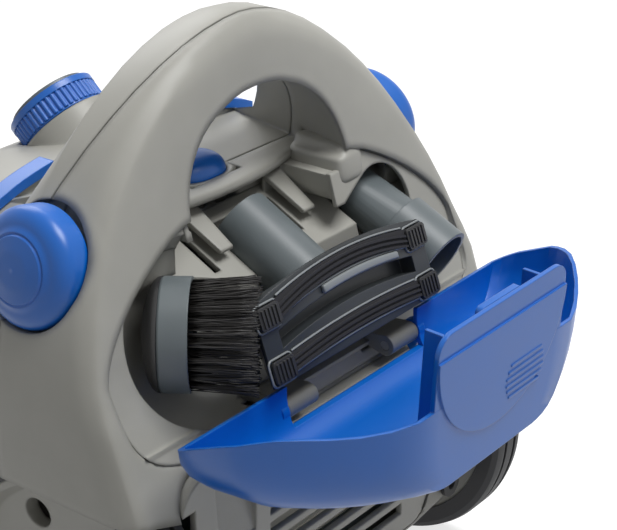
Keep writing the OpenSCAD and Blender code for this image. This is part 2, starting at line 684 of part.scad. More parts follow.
// ================= dust chamber =================
bag_y0 = seam_y + 56;
module dust_bag() color("#C9BEA4") difference() {
    hull() for (s = [-1, 1], y = [bag_y0 + 30, cover_y1 - 44]) translate([s * 52, y, 0]) {
        translate([0, 0, base_z + 26]) sphere(22, $fn = 16);
        translate([0, 0, deck_at(60, y, -64)]) sphere(20, $fn = 16);
    }
    at_inlet() translate([-big / 2, -big / 2, -duct_len - 6 - 2 * fit]) cube(big);
}
module bag_plate() color(SLATE) at_inlet() difference() {
    translate([0, 0, -duct_len - 6 - fit]) linear_extrude(3) offset(6) square([66, 48], center = true);
    translate([0, 0, -duct_len - 20]) cylinder(h = 40, r = inlet_d / 2 + 1);
}
cover_pin_y = cover_y1 - 1.8;
module at_cover_hinge(s) translate([s * cover_ear_x, cover_pin_y, deck_at(0, cover_pin_y, -3.8)])
    rotate([0, 90, 0]) children();
module cover_ear(s) hull() {
    at_cover_hinge(s) cylinder(h = 10, r = knuckle_r, center = true);
    translate([s * cover_ear_x, cover_y1 - 9, deck_at(cover_ear_x, cover_y1 - 9, -4)]) cube([10, 6, 3],
        center = true);
}
// stiffening rib under the cover, across the body
module cover_rib(y) for (s = [-1, 1]) hull() {
    for (x = [s * 20, s * (cover_hw - 34)]) translate([x, y, deck_at(x, y, -7)]) cylinder(h = 6, r = 1,
        $fn = 12);
}
// lugs of the front housing that hold the cover's pins
lug_mid = cover_ear_x - 8.5;
module pin_lug(s) difference() {
    hull() {
        at_cover_hinge(s) translate([0, 0, s * (lug_mid - cover_ear_x)]) cylinder(h = 5, r = knuckle_r,
            center = true);
        translate([s * lug_mid, cover_y1 + 6, deck_at(lug_mid, cover_y1 + 6, -4)]) cube([5, 6, 3],
            center = true);
    }
    at_cover_hinge(s) cylinder(h = 40, r = cover_pin_r + run, center = true);
}
module bag_cover() color(HOUSING) difference() {
    union() {
        intersection() {
            difference() {
                body_form();
                body_form(wall, 40, 26);
            }
            translate([0, 0, mid_z - 40]) linear_extrude(big) cover_outline();
        }
        at_inlet() translate([0, 0, -14]) cylinder(h = 17.5, r = collar_d / 2 + 2.5);
        for (s = [-1, 1]) cover_ear(s);
        for (k = [0:2]) cover_rib(cover_y0 + 56 + 16 * k);
    }
    at_inlet() translate([0, 0, -80]) cylinder(h = 120, r = inlet_d / 2 + duct_wall + fit);
    at_inlet() translate([0, 0, 4]) cylinder(h = 60, r = collar_d / 2 + 1.5);
    for (s = [-1, 1]) at_cover_hinge(s) cylinder(h = 12, r = cover_pin_r, center = true);
    for (s = [-1, 1]) translate([s * lug_mid - 3.2, cover_y1 - 6, mid_z]) cube([6.4, 10, 40]);
}
module cover_pins() color("#8C8F92") for (s = [-1, 1]) at_cover_hinge(s) translate([0, 0, -3 * s])
    cylinder(h = 16, r = cover_pin_r, center = true);
module duct_seal() color(DARK) at_inlet() translate([0, 0, -duct_len - 3]) rotate_extrude($fn = 72)
    polygon([[inlet_d / 2 + 0.6, 0], [inlet_d / 2 + 8, 0], [inlet_d / 2 + 8, 1.4], [inlet_d / 2 + 3.6, 2.8],
        [inlet_d / 2 + 0.6, 2.8]]);
module inlet_duct() color(SLATE) at_inlet() difference() {
    union() {
        translate([0, 0, -duct_len]) cylinder(h = duct_len + 22, r = inlet_d / 2 + duct_wall);
        translate([0, 0, 20]) cylinder(h = 2, r = inlet_d / 2 + duct_wall + 2);
    }
    translate([0, 0, -duct_len - 1]) cylinder(h = duct_len + 40, r = inlet_d / 2);
}
module hose_collar() color(BLUE) at_inlet() difference() {
    union() {
        translate([0, 0, 5]) cylinder(h = 14.6, r = collar_d / 2 - 1.2, $fn = 96);
        translate([0, 0, 16]) cylinder(h = 3.6, r = collar_d / 2, $fn = 96);
        for (k = [0:collar_ribs - 1]) rotate([0, 0, k * 360 / collar_ribs])
            translate([collar_d / 2 - 1.4, 0, 6]) cylinder(h = 11, r = 1.2, $fn = 16);
    }
    translate([0, 0, 0]) cylinder(h = 40, r = inlet_d / 2 + duct_wall + run, $fn = 96);
}

// ================= controls =================
module coil(r, wire, turns, h) skin([for (k = [0:turns * 8]) let (a = 45 * k, z = h * k / (turns * 8))
    [for (j = [0:4]) let (c = r + wire / 2 * cos(72 * j)) [c * cos(a), c * sin(a),
        z + wire / 2 * sin(72 * j)]]]);
module latch_button() color(BLUE) union() {
    intersection() {
        hull() {
            translate([0, button_y - 2, ledge_z - 4]) cylinder(h = 4, r = 11, $fn = 48);
            for (s = [-1, 1]) translate([s * (button_hx - 5), button_y, ledge_z + 1]) sphere(5, $fn = 20);
            translate([0, button_y - 6, ledge_z + 1]) sphere(7, $fn = 20);
            translate([0, button_y + 2, ledge_z + 7]) sphere(3.5, $fn = 20);
            translate([0, button_y + 10, ledge_z + 1]) sphere(3, $fn = 16);
        }
        translate([-button_hx, button_y - 14, ledge_z - 3]) cube([2 * button_hx, 28, 30]);
    }
    translate([0, button_y, ledge_z - 12]) cylinder(h = 10, r = 4);
}
module button_spring() color("#B8BABC") translate([0, button_y, ledge_z - 23]) coil(5.5, 1.2, 4,
    14 + button_travel);
module pedal(s) color(BLUE) at_pedal(s) rotate_extrude($fn = 96) union() {
    r = pedal_d / 2;
    polygon(concat([[0, 4], [r - 3, 4], [r, 6], [r, 15]],
        [for (k = [1:6]) [r - 10 + 10 * cos(k * 14), 15 + 8 * sin(k * 14)]],
        [[r * 0.6, 24.4], [r * 0.57, 24], [r * 0.54, 25.2], [r * 0.3, 26.6], [0, 27]]));
}
module power_pedal() pedal(-1);
module rewind_pedal() pedal(1);
module power_spring() color("#B8BABC") at_pedal(-1) translate([0, 0, -spring_room + 1]) coil(12, 1.6, 4,
    9 + pedal_travel);
module rewind_spring() color("#B8BABC") at_pedal(1) translate([0, 0, -spring_room + 1]) coil(12, 1.6, 4,
    9 + pedal_travel);

// ================= wheels =================
module at_wheel(s) translate([s * wheel_x, wheel_y, wheel_z]) rotate([0, s * 90, 0]) children();
tyre_t = 12;
module tyre() color(TYRE) rotate_extrude($fn = 96) difference() {
    translate([wheel_d / 2 - tyre_t, 0]) polygon([[0, 0], [tyre_t - 4, 0], [tyre_t - 1, 1.5], [tyre_t, 5],
        [tyre_t, wheel_w - 5], [tyre_t - 1, wheel_w - 1.5], [tyre_t - 4, wheel_w], [0, wheel_w]]);
    for (z = [0.32, 0.68]) translate([wheel_d / 2 - 3, wheel_w * z - 1.2]) square([6, 2.4]);
}
module left_tyre() at_wheel(-1) tyre();
module right_tyre() at_wheel(1) tyre();
rim_r = wheel_d / 2 - tyre_t;
module hub() color(HOUSING) difference() {
    rotate_extrude($fn = 96) polygon([[0, 2], [14, 2], [14, 8], [rim_r - 6, 8], [rim_r - 6, 1], [rim_r, 1],
        [rim_r, wheel_w - 1], [rim_r - 4, wheel_w - 1], [rim_r - 8, wheel_w - 7], [24, wheel_w - 10],
        [22, wheel_w - 4], [0, wheel_w - 4]]);
    translate([0, 0, -1]) cylinder(h = wheel_w - 6, r = axle_d / 2 + run);
    for (a = [0:60:300]) rotate([0, 0, a + 30]) translate([rim_r - 21, 0, -1]) cylinder(h = wheel_w + 2,
        r = 8);
}
module left_hub() at_wheel(-1) hub();
module right_hub() at_wheel(1) hub();
module cap() color(BLUE) translate([0, 0, wheel_w - 4]) rotate_extrude($fn = 72)
    polygon([[0, 0], [20, 0], [20, 1.5], [17, 3.2], [8, 4], [0, 4]]);
module left_cap() at_wheel(-1) cap();
module right_cap() at_wheel(1) cap();
module rear_axle() color("#8C8F92") for (s = [-1, 1]) translate([s * (boss_x - 8), wheel_y, wheel_z])
    rotate([0, s * 90, 0]) cylinder(h = wheel_x - boss_x + 8 + wheel_w - 9, d = axle_d);
fork_z = base_z - 2;
module at_caster() translate([0, caster_y, 0]) children();
caster_trail = 12;
module caster_fork() color(SHADE) at_caster() difference() {
    union() {
        translate([0, 0, fork_z - 6]) cylinder(h = 22, r = socket_r - run);
        translate([0, 0, fork_z - 4]) cylinder(h = 5, r = 17);
        for (s = [-1, 1]) hull() {
            translate([s * 13, -caster_trail, caster_d / 2]) rotate([0, 90, 0]) cylinder(h = 4, r = 6,
                center = true);
            translate([s * 13, -2, fork_z - 3]) cube([4, 18, 4], center = true);
        }
    }
    translate([0, -caster_trail, caster_d / 2]) rotate([0, 90, 0]) cylinder(h = 60, r = 2.5, center = true);
    translate([0, -caster_trail, caster_d / 2]) rotate([0, 90, 0])
        cylinder(h = 21, d = caster_d + 5, center = true);
}
module caster_axle() color("#8C8F92") at_caster() translate([0, -caster_trail, caster_d / 2])
    rotate([0, 90, 0]) cylinder(h = 30, r = 2.5, center = true);
module caster_wheel() color(TYRE) at_caster() translate([0, -caster_trail, caster_d / 2]) rotate([0, 90, 0])
    rotate_extrude($fn = 72) polygon([[2.5 + run, -9], [10, -9], [caster_d / 2 - 3, -8], [caster_d / 2, -5],
        [caster_d / 2, 5], [caster_d / 2 - 3, 8], [10, 9], [2.5 + run, 9]]);

// ================= deck trims =================
module trim(s) color(BLUE) let (xs = [for (k = [0:6]) mix(56, 98, k / 6)])
    translate([0, cover_y0 - 1.5, 0]) rotate([90, 0, 0]) linear_extrude(10) polygon(concat(
        [for (x = xs) [s * x, deck_at(x, deck_start + 15, 0.7)]],
        [for (k = [6:-1:0]) [s * xs[k], deck_at(xs[k], deck_start + 15, 6)]]));
module left_trim() trim(-1);
module right_trim() trim(1);

// ================= tools =================
module crevice_tool() color(SLATE) at_crevice() difference() {
    union() {
        cylinder(h = 30, d = neck_d + 3, $fn = 64);
        hull() {
            translate([0, 0, 28]) cylinder(h = 1, d = neck_d - 3, $fn = 48);
            for (s = [-1, 1]) translate([s * 8, -2, 48]) cylinder(h = crevice_len - 48, r = 6, $fn = 32);
        }
    }
    translate([0, 0, -1]) cylinder(h = 27, d = neck_d - 2, $fn = 64);
    translate([0, -2, 20]) cylinder(h = crevice_len, d = 8);
}
// band across the head that bows up in the middle; y0 to y1 deep, z middle, h half height
module bow(hx, y0, y1, z, h, rise) translate([0, y1, 0]) rotate([90, 0, 0]) linear_extrude(y1 - y0)
    polygon(concat(
    [for (k = [-8:8]) [hx * k / 8, z - h + rise * (1 - k * k / 64)]],
    [for (k = [8:-1:-8]) [hx * k / 8, z + h + rise * (1 - k * k / 64)]]));
strip_z = 13;
bow_up = 7;
bow_low = 3;
module head_block(g = 0) hull() {
    bow(nozzle_w / 2 - 6 + g, -g, 2 + g, strip_z, 7 + g, bow_up);
    bow(nozzle_w / 2 - 6 + g, -g, 2 + g, -strip_z, 7 + g, bow_low);
    for (s = [-1, 1], z = [-9, 11]) translate([s * (nozzle_w / 2 - 28), 15, z]) sphere(8 + g, $fn = 24);
}
module nozzle_head() color(SLATE) at_head() difference() {
    head_block();
    bow(nozzle_w / 2 - 18, -4, 9, (bow_up - bow_low) / 2 - 2, 4.2, bow_low + 2);
    bow(nozzle_w / 2 - 12, -2, 1, strip_z, 4.5, bow_up);
    bow(nozzle_w / 2 - 12, -2, 1, -strip_z, 4.5, bow_low);
}
module nozzle_strips() color(DARK) at_head() for (e = [[strip_z, bow_up], [-strip_z, bow_low]]) {
    bow(nozzle_w / 2 - 12.3, -1.2, 0.8, e[0], 4.2, e[1]);
    for (k = [-1:1]) bow(nozzle_w / 2 - 21, -2.4, -1, e[0] + 2.6 * k, 0.6, e[1]);
}
module nozzle_pads() color(DARK) at_head() for (s = [-1, 1], z = [-13, 13])
    translate([s * (nozzle_w / 2 - 13), -2, z]) {
        rotate([90, 0, 0]) linear_extrude(1.5, center = true) offset(2, $fn = 24) square([11, 7],
            center = true);
        for (k = [-2:2]) translate([k * 2.6, -1, 0]) cube([1.2, 1.2, 8.6], center = true);
    }
module nozzle_root(g = 0) hull() {
    at_neck() translate([0, 0, -6 - g]) cylinder(h = 3, d = neck_d - 1 + 2 * g, $fn = 32);
    at_head() translate([0, 23, 0]) rotate([90, 0, 0]) cylinder(h = 1, d = 24 + 2 * g, $fn = 32);
}
module nozzle_neck() color(SLATE) difference() {
    union() {
        at_neck() translate([0, 0, -4]) cylinder(h = 55, d = neck_d, $fn = 64);
        nozzle_root();
    }
    at_neck() translate([0, 0, 16]) cylinder(h = 60, d = neck_d - 5, $fn = 64);
    at_head() head_block(0.15);
}
module brush_back() color("#3A3B3D") at_brush() translate([0, 0, -8]) rotate([180, 0, 0])
    rotate_extrude($fn = 72) polygon(concat([[0, 0]], [for (k = [0:8]) [brush_d / 2 * cos(k * 11.25),
        9 * sin(k * 11.25)]]));
module brush_rim() color(SLATE) at_brush() translate([0, 0, -8 + fit / 3]) rotate_extrude($fn = 72)
    polygon([[0, 0], [brush_d / 2 - 0.6, 0], [brush_d / 2, 1], [brush_d / 2, 14], [brush_d / 2 - 2, 14],
        [brush_d / 2 - 2, 10], [0, 10]]);
module brush_bristles() color(DARK) difference() {
    at_brush() translate([0, 0, 2 + fit / 3]) {
        cylinder(h = 2, r = brush_d / 2 - 3);
        for (ring = [[brush_d / 2 - 5.5, 20], [brush_d / 2 - 12, 14], [brush_d / 2 - 19, 8]],
            k = [0:ring[1] - 1])
            rotate([0, 0, 360 * k / ring[1]]) translate([ring[0], 0, 1]) cylinder(h = 31, r = 2.2,
                $fn = 16);
    }
    at_head() head_block(0.3);
    at_head() translate([-nozzle_w / 2, -10, -24]) cube([24, 12, 50]);
}

rear_housing();
front_housing();
base_pan();
tool_tray();
hinge_bracket();
hinge_pins();
lid_shell();
lid_latch();
exhaust_cover();
exhaust_filter();
filter_frame();
motor_casing();
motor_shaft();
fan_wheel();
cord_reel();
reel_spindle();
cord_outlet();
dust_bag();
bag_plate();
bag_cover();
cover_pins();
duct_seal();
inlet_duct();
hose_collar();
latch_button();
button_spring();
power_pedal();
rewind_pedal();
power_spring();
rewind_spring();
left_tyre();
right_tyre();
left_hub();
right_hub();
left_cap();
right_cap();
rear_axle();
caster_fork();
caster_wheel();
caster_axle();
left_trim();
right_trim();
crevice_tool();
nozzle_head();
nozzle_strips();
nozzle_pads();
nozzle_neck();
brush_back();
brush_rim();
brush_bristles();
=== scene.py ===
"""Looks for the cylinder vacuum cleaner: materials, brush hair, small mouldings, studio and camera.

Everything is in the CAD's own frame, in metres: z up, y towards the hose inlet, the floor at z = 0.
"""
import json
import math
import random

import bmesh
import bpy
from mathutils import Matrix, Vector
from mathutils.bvhtree import BVHTree


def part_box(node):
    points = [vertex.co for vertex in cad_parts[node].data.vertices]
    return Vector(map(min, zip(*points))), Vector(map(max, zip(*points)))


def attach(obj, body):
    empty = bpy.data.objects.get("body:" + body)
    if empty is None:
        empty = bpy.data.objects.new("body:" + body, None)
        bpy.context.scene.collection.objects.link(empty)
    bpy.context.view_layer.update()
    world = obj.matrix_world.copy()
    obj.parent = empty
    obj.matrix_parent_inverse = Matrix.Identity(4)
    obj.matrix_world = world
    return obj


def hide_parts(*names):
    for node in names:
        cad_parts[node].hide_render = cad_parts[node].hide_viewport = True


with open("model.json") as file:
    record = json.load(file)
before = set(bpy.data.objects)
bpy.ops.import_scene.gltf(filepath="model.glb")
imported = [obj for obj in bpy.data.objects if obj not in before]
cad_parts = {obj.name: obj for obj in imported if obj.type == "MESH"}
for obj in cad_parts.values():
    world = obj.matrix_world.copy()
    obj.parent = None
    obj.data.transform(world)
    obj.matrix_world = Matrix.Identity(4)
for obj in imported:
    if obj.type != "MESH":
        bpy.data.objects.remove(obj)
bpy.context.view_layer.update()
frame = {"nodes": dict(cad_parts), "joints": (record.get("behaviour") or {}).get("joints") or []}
nodes = frame["nodes"]
MM = 0.001


# ---------- colours and nodes ----------
def linear(code):
    """An sRGB hex colour as linear RGBA."""
    parts = [int(code[i:i + 2], 16) / 255 for i in (1, 3, 5)]
    return [c / 12.92 if c <= 0.04045 else ((c + 0.055) / 1.055) ** 2.4 for c in parts] + [1.0]


def add(tree, kind, links=None, **settings):
    """One node with its properties and inputs; links maps an input to another node's output."""
    node = tree.nodes.new(kind)
    for key, value in settings.items():
        if hasattr(node, key) and key not in node.inputs:
            setattr(node, key, value)
        else:
            node.inputs[key.replace("_", " ")].default_value = value
    for key, (source, output) in (links or {}).items():
        tree.links.new(source.outputs[output], node.inputs[key])
    return node


def blank(name):
    """A new material with an empty node tree."""
    mat = bpy.data.materials.new(name)
    mat.use_nodes = True
    mat.node_tree.nodes.clear()
    return mat, mat.node_tree


def finish_material(tree, shader):
    """Puts the finished shader on the surface output."""
    add(tree, "ShaderNodeOutputMaterial", {"Surface": (shader, 0)})


FLOW_MM = 45         # size of the faint cloudiness that the melt leaves
FLOW_FROM, FLOW_TO = 0.3, 0.7  # part of the noise over which the shade changes
GLOSS_SPREAD = 0.05  # how much the roughness wanders with the flow
TOOL_MARK_MM = 0.7
TOOL_MARK_DEPTH_MM = 0.02
FIBRE_DARK, FIBRE_LIGHT = 0.75, 1.2


def moulded(name, code, rough, grain_mm, grain_depth_mm, edge_mm, mottle=0.05, ior=1.53):
    """Injection-moulded plastic: spark-eroded grain, faint flow mottle, a small radius on every edge.

    The real grain is about 0.1 mm, too fine to show, so grain_mm is drawn several times coarser.
    """
    mat, tree = blank(name)
    place = add(tree, "ShaderNodeTexCoord")
    flow = add(tree, "ShaderNodeTexNoise", {"Vector": (place, "Object")}, Scale=1 / (FLOW_MM * MM),
               Detail=3.0, Roughness=0.6)
    base = linear(code)
    shade = add(tree, "ShaderNodeValToRGB", {"Fac": (flow, "Fac")})
    shade.color_ramp.elements[0].position = FLOW_FROM
    shade.color_ramp.elements[1].position = FLOW_TO
    shade.color_ramp.elements[0].color = [c * (1 - mottle) for c in base[:3]] + [1]
    shade.color_ramp.elements[1].color = [min(1, c * (1 + mottle)) for c in base[:3]] + [1]
    grain = add(tree, "ShaderNodeTexNoise", {"Vector": (place, "Object")}, Scale=1 / (grain_mm * MM),
                Detail=2.0)
    gloss = add(tree, "ShaderNodeMapRange", {"Value": (flow, "Fac")}, To_Min=rough - GLOSS_SPREAD,
                To_Max=rough + GLOSS_SPREAD)
    edge = add(tree, "ShaderNodeBevel", samples=6, Radius=edge_mm * MM)
    bump = add(tree, "ShaderNodeBump", {"Height": (grain, "Fac"), "Normal": (edge, "Normal")}, Strength=0.5,
               Distance=grain_depth_mm * MM)
    looks = {"Base Color": (shade, "Color"), "Roughness": (gloss, "Result"), "Normal": (bump, "Normal")}
    shader = add(tree, "ShaderNodeBsdfPrincipled", looks, IOR=ior)
    finish_material(tree, shader)
    return mat


def metal(name, code, rough, edge_mm=0.3):
    """Drawn or turned metal: fine tool marks along the piece."""
    mat, tree = blank(name)
    place = add(tree, "ShaderNodeTexCoord")
    marks = add(tree, "ShaderNodeTexNoise", {"Vector": (place, "Object")}, Scale=1 / (TOOL_MARK_MM * MM),
                Detail=4.0)
    gloss = add(tree, "ShaderNodeMapRange", {"Value": (marks, "Fac")}, To_Min=rough - 0.08,
                To_Max=rough + 0.1)
    edge = add(tree, "ShaderNodeBevel", samples=4, Radius=edge_mm * MM)
    bump = add(tree, "ShaderNodeBump", {"Height": (marks, "Fac"), "Normal": (edge, "Normal")}, Strength=0.2,
               Distance=TOOL_MARK_DEPTH_MM * MM)
    shader = add(tree, "ShaderNodeBsdfPrincipled",
                 {"Roughness": (gloss, "Result"), "Normal": (bump, "Normal")},
                 Base_Color=linear(code), Metallic=1.0)
    finish_material(tree, shader)
    return mat


def fibrous(name, code, rough, fibre_mm, depth_mm):
    """Paper, fleece or pile: short fibres that scatter light."""
    mat, tree = blank(name)
    place = add(tree, "ShaderNodeTexCoord")
    fibres = add(tree, "ShaderNodeTexNoise", {"Vector": (place, "Object")}, Scale=1 / (fibre_mm * MM),
                 Detail=5.0, Roughness=0.7)
    base = linear(code)
    shade = add(tree, "ShaderNodeValToRGB", {"Fac": (fibres, "Fac")})
    shade.color_ramp.elements[0].color = [c * FIBRE_DARK for c in base[:3]] + [1]
    shade.color_ramp.elements[1].color = [min(1, c * FIBRE_LIGHT) for c in base[:3]] + [1]
    bump = add(tree, "ShaderNodeBump", {"Height": (fibres, "Fac")}, Strength=0.6, Distance=depth_mm * MM)
    shader = add(tree, "ShaderNodeBsdfPrincipled",
                 {"Base Color": (shade, "Color"), "Normal": (bump, "Normal")}, Roughness=rough)
    finish_material(tree, shader)
    return mat


# body shells: satin warm grey, light enough that every soft edge and seam reads
abs_grey = moulded("abs_satin_warm_grey", "#A5A49D", 0.44, 0.9, 0.05, 2.2)
# the same plastic where the grip and the body's rim are rolled over with a generous radius
abs_grip = moulded("abs_satin_warm_grey_soft_edge", "#A5A49D", 0.44, 0.9, 0.05, 6.0)
# floor pan, hinge plate and fork: the body's grey painted darker as painted shade, since they sit in
# shadow; matt so that it stays in the background
abs_painted_shade = moulded("abs_grey_painted_shade_matt", "#77766F", 0.52, 0.9, 0.06, 0.8)
# lid, pedals and buttons: the strong royal blue with a soft sheen
abs_blue = moulded("abs_satin_royal_blue", "#0064C4", 0.32, 0.7, 0.02, 0.9, mottle=0.03)
# tool necks and brush ring: waxy slate with a mild mottle
pp_slate = moulded("polypropylene_slate", "#646C6F", 0.4, 0.8, 0.03, 0.7, mottle=0.08, ior=1.49)
# nozzle head: the same plastic, nearly black
pp_dark = moulded("polypropylene_dark_slate", "#34383B", 0.36, 0.8, 0.03, 0.7, mottle=0.08, ior=1.49)
# pale slate for the nozzle's raised edge lines and deflector bar: painted highlight that stands in for
# their glint
pp_painted_highlight = moulded("polypropylene_pale_painted_highlight", "#8B9092", 0.3, 0.8, 0.02, 0.4, mottle=0.05, ior=1.49)
# brush back, pads and motor casing: dull black with a slight highlight
nylon_black = moulded("nylon_black", "#2A2A2B", 0.48, 0.6, 0.03, 0.4, ior=1.53)
# cord outlet and duct seal: flat black, no highlight
rubber_black = moulded("rubber_black", "#1C1C1D", 0.7, 0.5, 0.03, 0.4, ior=1.52)
# tyres: dark grey that looks dusty beside the black pieces
tyre_rubber = moulded("thermoplastic_rubber_grey", "#353537", 0.62, 0.6, 0.05, 0.6, ior=1.51)
# bristles: near black, each with a thin glint
hair_nylon = moulded("nylon_hair_black", "#14110F", 0.5, 0.5, 0.02, 0.1, mottle=0.35)
# pins, axles and springs: cool bright metal
zinc_steel = metal("zinc_plated_steel", "#B9BBBE", 0.32)
# fan wheel: duller and greyer than the pins
cast_alloy = metal("cast_aluminium", "#A9ABAD", 0.45)
# dust bag: warm matt paper
filter_paper = fibrous("filter_paper", "#C9BEA4", 0.9, 0.6, 0.08)
# exhaust filter: soft off-white fleece
filter_fleece = fibrous("filter_fleece", "#DAD8CE", 0.95, 0.5, 0.12)
# lint strips of the nozzle: black pile that swallows the light
lint_pile = fibrous("lint_pile_black", "#26262A", 0.85, 0.5, 0.15)

FINISH = {
    abs_grip: "rear_housing",
    abs_grey: "front_housing bag_cover exhaust_cover tool_tray left_hub right_hub",
    # pieces that sit in shadow get the grey with painted shade
    abs_painted_shade: "base_pan hinge_bracket caster_fork reel_spindle",
    abs_blue: "lid_shell lid_latch latch_button power_pedal rewind_pedal left_cap right_cap left_trim "
              "right_trim hose_collar",
    pp_slate: "inlet_duct bag_plate filter_frame crevice_tool nozzle_neck brush_rim",
    pp_dark: "nozzle_head",
    nylon_black: "motor_casing cord_reel nozzle_pads brush_back brush_bristles",
    rubber_black: "cord_outlet duct_seal",
    tyre_rubber: "left_tyre right_tyre caster_wheel",
    zinc_steel: "hinge_pins cover_pins rear_axle caster_axle motor_shaft button_spring power_spring "
                "rewind_spring",
    cast_alloy: "fan_wheel",
    filter_paper: "dust_bag",
    filter_fleece: "exhaust_filter",
    lint_pile: "nozzle_strips",
}
WELD_MM = 0.002            # joins the loose triangles of a node
CREASE = math.radians(26)  # edges sharper than this stay crisp
for finish, names in FINISH.items():
    for name in names.split():
        node = nodes[name]
        node.data.materials.clear()
        node.data.materials.append(finish)
        # moulded surfaces run smooth across the facets and break only at real edges
        node.data.polygons.foreach_set("use_smooth", [True] * len(node.data.polygons))
        weld = node.modifiers.new("weld", "WELD")
        weld.merge_threshold = WELD_MM * MM
        split = node.modifiers.new("split", "EDGE_SPLIT")
        split.split_angle = CREASE


# ---------- brush hair ----------
HAIR_LEN = 32.5 * MM
HAIR_MIN = 4 * MM
HAIR_GAP = 0.6 * MM  # what a hair keeps from the nozzle head
HAIR_BOW = 0.5 * MM
ROOT_IN = 5 * MM     # the roots' distance from the middle of the rim, along the brush
RIM_IN = 3.2 * MM    # from the rim's outside to the outer ring of tufts
BRUSH_TURN = math.radians(-53.8)
TUFTS = ((1.0, 26), (0.78, 20), (0.55, 14), (0.32, 8))  # share of the radius, tufts in the ring
HAIRS_PER_TUFT = 9
TUFT_SPREAD = 0.75 * MM
FLARE = 0.05         # outward lean of the outer tufts
STRAY = 0.035        # lean of a single hair, any way


def brush_hair():
    """The dusting brush's hairs, tuft by tuft, each cut short where the nozzle stands in its way."""
    low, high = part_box("brush_rim")
    middle = (low + high) / 2
    along = Vector((math.cos(BRUSH_TURN), math.sin(BRUSH_TURN), 0))
    across = Vector((-along.y, along.x, 0))
    up = Vector((0, 0, 1))
    root = middle + along * ROOT_IN
    head = nodes["nozzle_head"].data
    blocked = BVHTree.FromPolygons([v.co for v in head.vertices], [p.vertices for p in head.polygons])
    rng = random.Random(7)
    bm = bmesh.new()
    outer = (high.z - low.z) / 2 - RIM_IN
    for ring, count in TUFTS:
        for k in range(count):
            angle = 2 * math.pi * (k + rng.uniform(-0.15, 0.15)) / count
            flare = FLARE * ring + rng.uniform(0, FLARE)
            for _ in range(HAIRS_PER_TUFT):
                spread = Vector((rng.gauss(0, 1), rng.gauss(0, 1))) * TUFT_SPREAD
                side = math.cos(angle) * outer * ring + spread.x
                height = math.sin(angle) * outer * ring + spread.y
                start = root + across * side + up * height
                lean = across * math.cos(angle) * flare + up * math.sin(angle) * flare
                lean += (across * rng.gauss(0, 1) + up * rng.gauss(0, 1)) * STRAY
                course = (along + lean).normalized()
                length = HAIR_LEN * rng.uniform(0.93, 1.03)
                hit = blocked.ray_cast(start, course, length)
                if hit[3] is not None:
                    length = max(hit[3] - HAIR_GAP, HAIR_MIN)
                bend = (across * rng.gauss(0, 1) + up * rng.gauss(0, 1)) * HAIR_BOW
                hair(bm, start, course, length, bend)
    bmesh.ops.recalc_face_normals(bm, faces=bm.faces)
    return piece("brush_hair", bm, hair_nylon)


def hair(bm, start, course, length, bend, radius=0.28 * MM, steps=4):
    """One bristle: a three-sided rod, extruded in steps along a slight bow."""
    turn = course.to_track_quat("Z", "Y").to_matrix().to_4x4()
    made = bmesh.ops.create_circle(bm, cap_ends=True, segments=3, radius=radius,
                                   matrix=Matrix.Translation(start) @ turn)["verts"]
    face = made[0].link_faces[0]
    for k in range(1, steps + 1):
        grown = bmesh.ops.extrude_face_region(bm, geom=[face])["geom"]
        verts = [g for g in grown if isinstance(g, bmesh.types.BMVert)]
        old = face
        face = [g for g in grown if isinstance(g, bmesh.types.BMFace)][0]
        shift = bend * (math.sin(math.pi * k / steps) - math.sin(math.pi * (k - 1) / steps))
        bmesh.ops.translate(bm, vec=course * (length / steps) + shift, verts=verts)
        if k > 1:
            bm.faces.remove(old)


def piece(name, bm, material):
    """A new smooth-shaded object at the origin, from a finished bmesh."""
    mesh = bpy.data.meshes.new(name)
    bm.to_mesh(mesh)
    bm.free()
    mesh.materials.append(material)
    mesh.polygons.foreach_set("use_smooth", [True] * len(mesh.polygons))
    obj = bpy.data.objects.new(name, mesh)
    bpy.context.scene.collection.objects.link(obj)
    return obj


bristles = brush_hair()
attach(bristles, "body")
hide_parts("brush_bristles")

# ---------- small moulded details ----------
# sizes of this section are in millimetres; the nozzle's frame lies across its face, which leans back
HEAD_MID, HEAD_LEAN = (0, -121, 207.5), math.radians(-20)
HEAD = Matrix.Translation(Vector(HEAD_MID) * MM) @ Matrix.Rotation(HEAD_LEAN, 4, "X")
STRIP_Z, STRIP_HALF = 13, 5          # middle and half width of a lint strip
BOW_UP, BOW_LOW, BOW_SPAN = 7, 3, 60  # rise of the two strips' bows over their half span
PAD_X, PAD_HALF_X, PAD_HALF_Z, PAD_CORNER = 59, 8.3, 6.4, 2.6
RIM_STEP, RIM_STEPS = 5, 10
RIM_Y, RIM_RADIUS = -0.4, 0.6
BAR_MID, BAR_HALF, BAR_OUT = 12, 30, 2.4


def at_head(x, y, z):
    """A point of the upholstery nozzle's own frame, in millimetres, as a place in the part."""
    return HEAD @ (Vector((x, y, z)) * MM)


def rise(x, half, top):
    """How far a bow of height top, over a half span, stands up at x."""
    return top * (1 - (x / half) ** 2)


def wire(name, runs, radius, material):
    """Thin raised lines: each run is a list of places, closed where its second value is true."""
    curve = bpy.data.curves.new(name, "CURVE")
    curve.dimensions = "3D"
    curve.bevel_depth = radius
    curve.bevel_resolution = 2
    curve.use_fill_caps = True
    curve.materials.append(material)
    for places, closed in runs:
        spline = curve.splines.new("POLY")
        spline.points.add(len(places) - 1)
        for point, place in zip(spline.points, places):
            point.co = (*place, 1)
        spline.use_cyclic_u = closed
    obj = bpy.data.objects.new(name, curve)
    bpy.context.scene.collection.objects.link(obj)
    return obj


def round_rect(cx, cz, half_x, half_z, corner, steps=6):
    """The outline of a pad on the nozzle's face."""
    points = []
    for sx, sz, first in ((1, 1, 0), (-1, 1, 90), (-1, -1, 180), (1, -1, 270)):
        for k in range(steps + 1):
            angle = math.radians(first + 90 * k / steps)
            points.append(at_head(cx + sx * (half_x - corner) + corner * math.cos(angle), RIM_Y,
                                  cz + sz * (half_z - corner) + corner * math.sin(angle)))
    return points
